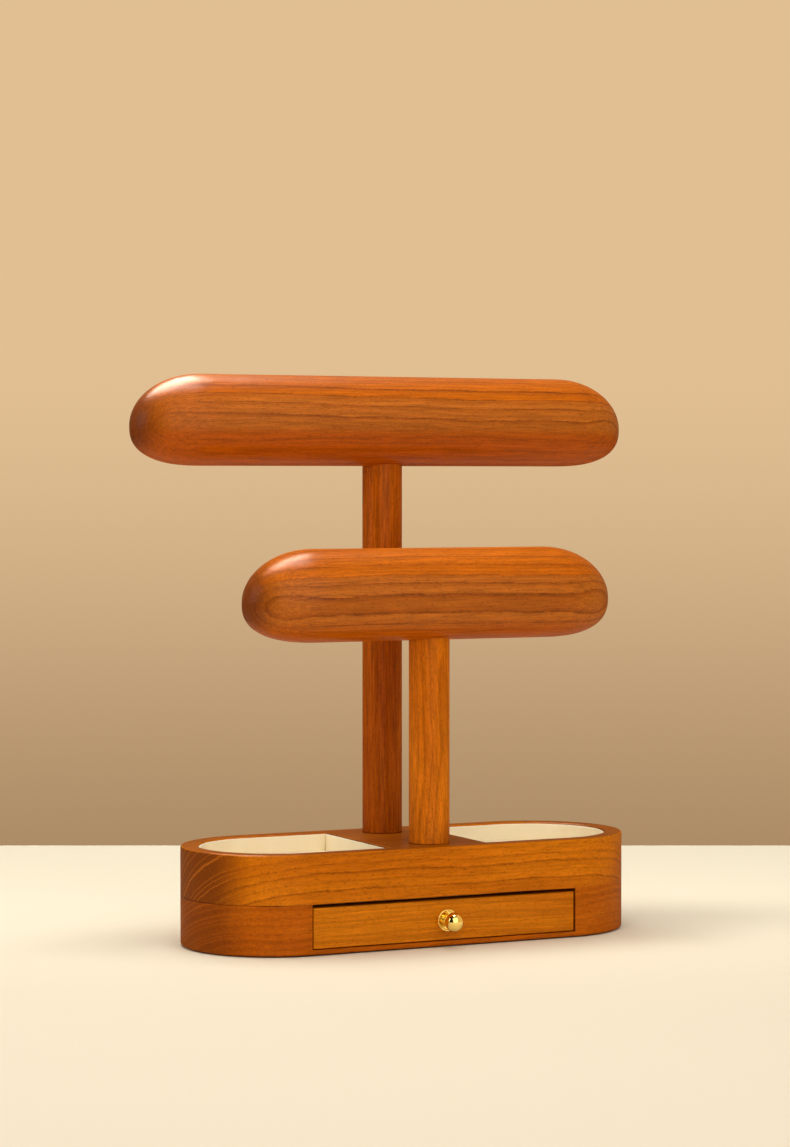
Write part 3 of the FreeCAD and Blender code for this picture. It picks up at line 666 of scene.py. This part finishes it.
def linerPath(side, card):
    openX, arcX, reach, steps = card["openX"], card["arcX"], card["reach"], card["runSteps"]
    run = arcX - openX
    path = [(openX + run * i / steps, -reach, 0, 1) for i in range(steps)]
    for x, y in arcPoints((arcX, 0), reach, -90, 90, card["arcSteps"]):
        path.append((x, y, (arcX - x) / reach, -y / reach))
    path += [(arcX - run * i / steps, reach, 0, -1) for i in range(1, steps + 1)]
    return [(side * x, y, side * inX, inY) for x, y, inX, inY in path]


def deeLoop(pad, inset, height):  # round at the outer end, straight across the bridge
    arcX, openX, reach = pad["arcX"], pad["openX"] + inset, pad["reach"] - inset
    outline = arcPoints((arcX, 0), reach, -90, 90, pad["arcSteps"])
    outline += between((arcX, reach), (openX, reach), pad["sideSteps"]) + [(openX, reach)]
    outline += between((openX, reach), (openX, -reach), pad["arcSteps"]) + [(openX, -reach)]
    outline += between((openX, -reach), (arcX, -reach), pad["sideSteps"])
    return [(x, y, height) for x, y in outline]


def padLoops(pad, side, seed):
    roll, rise = pad["edgeRoll"], (pad["edgeTop"] - pad["bottom"]) / 2
    loops = [deeLoop(pad, inset, pad["bottom"]) for inset in (pad["underInset"], roll * pad["underRoll"])]
    for angle in range(pad["rollFrom"], 91, pad["rollStep"]):
        turn = math.radians(angle)
        height = pad["bottom"] + rise + rise * math.sin(turn)
        loops.append(deeLoop(pad, roll * (1 - math.cos(turn)), height))
    innermost = pad["crownInsets"][-1]
    for inset in pad["crownInsets"]:
        share = 1 - (1 - (inset - roll) / (innermost - roll)) ** pad["crownPower"]
        loops.append(deeLoop(pad, inset, pad["edgeTop"] + pad["crown"] * share))
    shaped = []
    for loop in loops:
        shaped.append([])
        for x, y, z in loop:
            wavy = z > pad["edgeTop"] - pad["waveMargin"]
            lift = ripple((side * x, y, 0), pad["waveSize"], pad["uneven"], seed) if wavy else 0
            shaped[-1].append((side * x, y, z + lift))
    return shaped


for side, sideName, seed in ((-1, "left", 2.1), (1, "right", 5.4)):
    card = wallLiner
    wall = skin(f"{sideName}_wall_velvet", cardAlong(linerPath(side, card), card, seed),
                stands=[f"{sideName}_tray_wall_liner"])

    across = bridgeLiner
    path = [(side * across["outerX"], across["endY"] * (2 * i / across["steps"] - 1), side, 0)
            for i in range(across["steps"] + 1)]
    bridge = skin(f"{sideName}_bridge_velvet", cardAlong(path, card, seed + 1),
                  stands=[f"{sideName}_tray_bridge_liner"])

    pad = skin(f"{sideName}_pad_velvet", padLoops(floorPad, side, seed + 2),
               stands=[f"{sideName}_tray_floor_pad"])
print("tray velvet made")


drawerLining = {
    "left": -70.2, "right": 70.2, "front": -38.7, "back": 30.3, "bottom": 8.1, "top": 19.6,
    "wall": 1.0, "floor": 1.0, "outerCorner": 1.2, "corner": 2.6, "fillet": 1.8,
    "underInsets": (20.0, 1.0, 0.0), "outerDrops": (6.0, 3.0, 0.0), "wallHeights": (17.0, 15.0, 13.0, 11.6),
    "floorInsets": (4.5, 7, 10.5, 15, 20, 25, 29, 31), "cornerSteps": 8, "longSteps": 36, "shortSteps": 18,
    "foldStep": 30, "filletStep": 15, "uneven": 0.1, "waveSize": 14.0, "seed": 8.8,
}


def roundedLoop(tray, inset, height, corner):
    left, right = tray["left"] + inset, tray["right"] - inset
    front, back = tray["front"] + inset, tray["back"] - inset
    arcs = [arcPoints((x, y), corner, start, start + 90, tray["cornerSteps"]) for x, y, start in (
        (right - corner, front + corner, -90), (right - corner, back - corner, 0),
        (left + corner, back - corner, 90), (left + corner, front + corner, 180))]
    points = []
    for i, arc in enumerate(arcs):
        steps = tray["shortSteps"] if i % 2 == 0 else tray["longSteps"]
        points += arc + between(arc[-1], arcs[(i + 1) % 4][0], steps)
    return [(x, y, height) for x, y in points]


def liningLoops(tray):
    wall, corner, outer = tray["wall"], tray["corner"], tray["outerCorner"]
    foldLevel, floorTop = tray["top"] - wall / 2, tray["bottom"] + tray["floor"]
    loops = [roundedLoop(tray, inset, tray["bottom"], outer) for inset in tray["underInsets"]]
    loops += [roundedLoop(tray, 0.0, foldLevel - drop, outer) for drop in tray["outerDrops"]]
    for angle in range(tray["foldStep"], 181, tray["foldStep"]):
        turn = math.radians(angle)
        loops.append(roundedLoop(tray, wall / 2 * (1 - math.cos(turn)),
                                 foldLevel + wall / 2 * math.sin(turn),
                                 outer + (corner - outer) * angle / 180))
    firstShown = len(loops) - 1  # the last turn of the fold begins the side that shows
    loops += [roundedLoop(tray, wall, height, corner) for height in tray["wallHeights"]]
    for angle in range(tray["filletStep"], 91, tray["filletStep"]):
        turn = math.radians(angle)
        loops.append(roundedLoop(tray, wall + tray["fillet"] * (1 - math.cos(turn)),
                                 floorTop + tray["fillet"] * (1 - math.sin(turn)), corner))
    loops += [roundedLoop(tray, inset, floorTop, corner) for inset in tray["floorInsets"]]
    for index in range(firstShown, len(loops)):
        loops[index] = [(x, y, z + abs(ripple((x, y, z), tray["waveSize"], tray["uneven"], tray["seed"])))
                        for x, y, z in loops[index]]
    return loops


lining = skin("drawer_lining", liningLoops(drawerLining), slot="drawer_velvet", body="drawer", stands=[
    "drawer_floor_lining", "drawer_front_lining", "drawer_back_lining", "drawer_left_lining",
    "drawer_right_lining"])
print("drawer lining made")


baseFelt = {
    "arcX": 77.0, "reach": 47.0, "steps": 48, "uneven": 0.15, "waveSize": 6.0, "seed": 3.3,
    "section": ((45.0, 0.0), (20.0, 0.0), (0.25, 0.0), (0.05, 0.12), (0.0, 0.35), (0.1, 0.62), (0.3, 0.78),
                (3.0, 0.8), (20.0, 0.8), (45.0, 0.8)),  # (distance in from the edge, height)
}


def stadiumLoop(felt, inset, height):  # a round-ended outline, cut by hand
    arcX, steps = felt["arcX"], felt["steps"]
    reach = felt["reach"] - inset
    points = arcPoints((arcX, 0), reach, -90, 90, steps)
    points += [(arcX * (1 - 2 * k / steps), reach) for k in range(1, steps)]
    points += arcPoints((-arcX, 0), reach, 90, 270, steps)
    points += [(arcX * (2 * k / steps - 1), -reach) for k in range(1, steps)]
    shaped = []
    for x, y in points:
        wave = ripple((x, y, 0), felt["waveSize"], felt["uneven"], felt["seed"])
        cut = 1 + (wave - felt["uneven"] / 2) / felt["reach"]
        if abs(x) >= arcX:
            x = math.copysign(arcX + (abs(x) - arcX) * cut, x)
        shaped.append((x, y * cut, height))
    return shaped


feltLoops = [stadiumLoop(baseFelt, inset, height) for inset, height in baseFelt["section"]]
felt = skin("base_felt_sheet", feltLoops, slot="felt", stands=["base_felt"])
print("base felt made")


# The camera, pale table, far wall and lamps are placed in metres. Only tableFade is in millimetres.
studio = {
    "cameraPlace": (-0.7372, -1.4999, 0.2441), "tilt": 1.717, "heading": 25.985, "lens": 98.12,
    "sensor": 36.0, "nearest": 0.05,
    "tableBack": 0.41, "tableHalf": 1.6, "tableFront": screenColour(227, 215, 193),
    "tableRear": screenColour(242, 232, 208), "tableFade": (-260, 180),
    "tableMottle": (0.02, 3.0, 0.5), "mottleRange": (0.3, 0.7), "tableRoughness": (0.7, 0.8),
    "wallHigh": screenColour(225, 191, 147), "wallLow": screenColour(168, 136, 99),
    "wallFade": (-0.145, 0.045),
    "darkRoom": screenColour(46, 36, 28), "darkSide": (-0.8, -0.72, 0.6), "darkFade": (0.35, 0.5),
    "roomLight": (1.0, 0.93, 0.84, 1.0), "roomStrength": 0.3,
}
bpy.context.scene.view_settings.view_transform = "Standard"
cameraData = bpy.data.cameras.new("studioCamera")
cameraData.sensor_fit = "VERTICAL"
cameraData.sensor_height = studio["sensor"]
cameraData.lens = studio["lens"]
cameraData.clip_start = studio["nearest"]
camera = newObject("studioCamera", cameraData)
camera.location = studio["cameraPlace"]
camera.rotation_euler = (math.radians(90 - studio["tilt"]), 0, -math.radians(studio["heading"]))
bpy.context.scene.camera = camera

tableMesh = bpy.data.meshes.new("table")
half, back = studio["tableHalf"], studio["tableBack"]
turnTable = -math.radians(studio["heading"])
turnCos, turnSin = math.cos(turnTable), math.sin(turnTable)
tableCorners = [(x * turnCos - y * turnSin, x * turnSin + y * turnCos, 0)
                for x, y in ((-half, -half), (half, -half), (half, back), (-half, back))]
tableMesh.from_pydata(tableCorners, [], [(0, 1, 2, 3)])
table = newObject("table", tableMesh)
tableMaterial, tree, shader = newMaterial("paleTable")
tablePlace = atPlace(tree, (0, 0, 0), (0, 0, -studio["heading"]))
# painted light: the table is painted lighter towards the back, standing in for the light that falls there
tableColour = mixColour(tree, ramp(tree, axes(tree, tablePlace)[1], *studio["tableFade"]),
                        studio["tableFront"], studio["tableRear"])
feed(tree, shader, "Base Color", tableColour)
mottle = noiseValue(tree, tablePlace, *studio["tableMottle"])
feed(tree, shader, "Roughness", ramp(tree, mottle, *studio["mottleRange"], *studio["tableRoughness"]))
shader.inputs["Specular IOR Level"].default_value = 0.0
table.data.materials.append(tableMaterial)

world = bpy.data.worlds.new("studioWorld")
bpy.context.scene.world = world
world.use_nodes = True
tree = world.node_tree
roomLight = tree.nodes["Background"]
roomLight.inputs["Color"].default_value = studio["roomLight"]
roomLight.inputs["Strength"].default_value = studio["roomStrength"]
direction = addNode(tree, "ShaderNodeTexCoord").outputs["Generated"]
# painted shade: the far wall is painted darker towards the bottom
wallColour = mixColour(tree, ramp(tree, axes(tree, direction)[2], *studio["wallFade"]),
                       studio["wallLow"], studio["wallHigh"])
rays = addNode(tree, "ShaderNodeLightPath").outputs
facing = addNode(tree, "ShaderNodeVectorMath", {"operation": "DOT_PRODUCT"}, {
    0: direction, 1: Vector(studio["darkSide"]).normalized()}).outputs["Value"]
unlit = times(tree, ramp(tree, facing, *studio["darkFade"]), rays["Is Glossy Ray"])  # seen in the metal only
wallSeen = addNode(tree, "ShaderNodeBackground", {}, {
    "Color": mixColour(tree, unlit, wallColour, studio["darkRoom"]), "Strength": 1.0})
mirrored = calc(tree, "MAXIMUM", rays["Is Glossy Ray"], rays["Is Transmission Ray"])
seen = calc(tree, "MAXIMUM", rays["Is Camera Ray"], mirrored)
room = addNode(tree, "ShaderNodeMixShader", {}, {0: seen, 1: roomLight.outputs[0], 2: wallSeen.outputs[0]})
feed(tree, tree.nodes["World Output"], "Surface", room.outputs[0])

lamps = {
    "overheadLight": {"place": (-0.1, 0.08, 1.4), "aim": (0, 0, 0.15), "size": (0.36, 0.65),
                      "power": 13.5, "tint": (1.0, 0.98, 0.95), "spreads": True},
    "rearStrip": {"place": (-0.12, 0.56, 1.24), "aim": (0, 0, 0.2), "size": (0.8, 0.62),
                  "power": 86.0, "tint": (1.0, 0.92, 0.76), "spreads": False},  # sheen on the lacquer only
    "frontPanel": {"place": (-0.24, -1.5, 0.95), "aim": (0, 0, 0.15), "size": (1.9, 2.1),
                   "power": 18.5, "tint": (1.0, 0.96, 0.9), "spreads": True},
    "leftPanel": {"place": (-1.3, 0.25, 0.6), "aim": (0, 0, 0.1), "size": (0.8, 0.8),
                  "power": 4.0, "tint": (1.0, 0.96, 0.9), "spreads": True},
}
for name, lamp in lamps.items():
    lampData = bpy.data.lights.new(name, "AREA")
    lampData.shape = "RECTANGLE"
    lampData.size, lampData.size_y = lamp["size"]
    lampData.energy = lamp["power"]
    lampData.color = lamp["tint"]
    holder = newObject(name, lampData)
    holder.location = lamp["place"]
    holder.rotation_euler = (Vector(lamp["aim"]) - Vector(lamp["place"])).to_track_quat("-Z", "Y").to_euler()
    holder.visible_diffuse = lamp["spreads"]
print("studio set")
